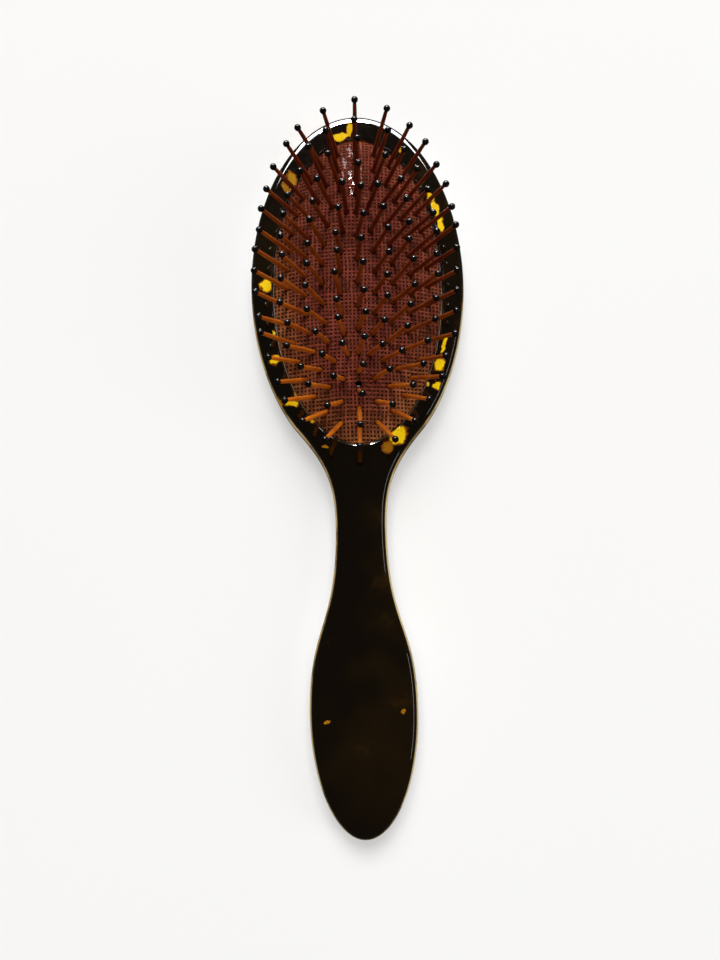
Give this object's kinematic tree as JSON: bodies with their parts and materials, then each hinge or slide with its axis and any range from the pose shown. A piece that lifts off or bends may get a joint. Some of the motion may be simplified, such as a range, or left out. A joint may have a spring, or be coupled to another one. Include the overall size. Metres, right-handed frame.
{
  "type": "hairbrush",
  "caption": "Oval pneumatic cushion hairbrush: one-piece flat acetate body, crowned woven-faced rubber cushion and ball-tipped nylon pins that sink as the cushion is pressed.",
  "frame": {"origin": "middle of the body's length and width, on its flat back", "axes": "+Y from the grip to the toe of the head, +Z from the flat back to the pin tips, +X to the right with the pins up"},
  "size_m": [0.0686, 0.23, 0.0397],
  "materials": {
    "acetate": "polished dark tortoiseshell with amber patches",
    "rubber": "smooth moulded",
    "woven_cover": "fine plain weave with a lacquered sheen",
    "pin": "translucent amber-brown, smooth",
    "ball_tip": "glossy enamel"
  },
  "bodies": {
    "handle": {"body": "acetate", "cushion_pad": "rubber", "cushion_cover": "woven_cover"},
    "outer_row": {"outer_pins_1": "pin", "outer_pins_2": "pin", "outer_pins_3": "pin", "outer_pins_4": "pin", "outer_pins_5": "pin", "outer_pins_6": "pin", "outer_tips_1": "ball_tip", "outer_tips_2": "ball_tip", "outer_tips_3": "ball_tip", "outer_tips_4": "ball_tip", "outer_tips_5": "ball_tip", "outer_tips_6": "ball_tip"},
    "second_row": {"second_pins_1": "pin", "second_pins_2": "pin", "second_pins_3": "pin", "second_pins_4": "pin", "second_pins_5": "pin", "second_tips_1": "ball_tip", "second_tips_2": "ball_tip", "second_tips_3": "ball_tip", "second_tips_4": "ball_tip", "second_tips_5": "ball_tip"},
    "third_row": {"third_pins_1": "pin", "third_pins_2": "pin", "third_pins_3": "pin", "third_pins_4": "pin", "third_tips_1": "ball_tip", "third_tips_2": "ball_tip", "third_tips_3": "ball_tip", "third_tips_4": "ball_tip"},
    "inner_row": {"inner_pins_1": "pin", "inner_pins_2": "pin", "inner_pins_3": "pin", "inner_tips_1": "ball_tip", "inner_tips_2": "ball_tip", "inner_tips_3": "ball_tip"},
    "centre_row": {"centre_pins": "pin", "centre_tips": "ball_tip"}
  },
  "joints": [
    {"name": "centre_row_press", "type": "slide", "parent": "handle", "child": "centre_row", "axis": [0, 0, -1], "range_m": [0, 0.004], "stiffness_N_per_m": 400, "deforming": ["cushion_pad", "cushion_cover"]},
    {"name": "inner_row_press", "type": "slide", "parent": "handle", "child": "inner_row", "axis": [0, 0, -1], "range_m": [0, 0.004], "stiffness_N_per_m": 400, "deforming": ["cushion_pad", "cushion_cover"]},
    {"name": "third_row_press", "type": "slide", "parent": "handle", "child": "third_row", "axis": [0, 0, -1], "range_m": [0, 0.004], "stiffness_N_per_m": 400, "deforming": ["cushion_pad", "cushion_cover"]},
    {"name": "second_row_press", "type": "slide", "parent": "handle", "child": "second_row", "axis": [0, 0, -1], "range_m": [0, 0.004], "stiffness_N_per_m": 400, "deforming": ["cushion_pad", "cushion_cover"]},
    {"name": "outer_row_press", "type": "slide", "parent": "handle", "child": "outer_row", "axis": [0, 0, -1], "range_m": [0, 0.004], "stiffness_N_per_m": 400, "deforming": ["cushion_pad", "cushion_cover"]}
  ],
  "couplings": [
    {"joint": "inner_row_press", "follows": "centre_row_press", "ratio": 0.995},
    {"joint": "third_row_press", "follows": "centre_row_press", "ratio": 0.921},
    {"joint": "second_row_press", "follows": "centre_row_press", "ratio": 0.661},
    {"joint": "outer_row_press", "follows": "centre_row_press", "ratio": 0.219}
  ]
}
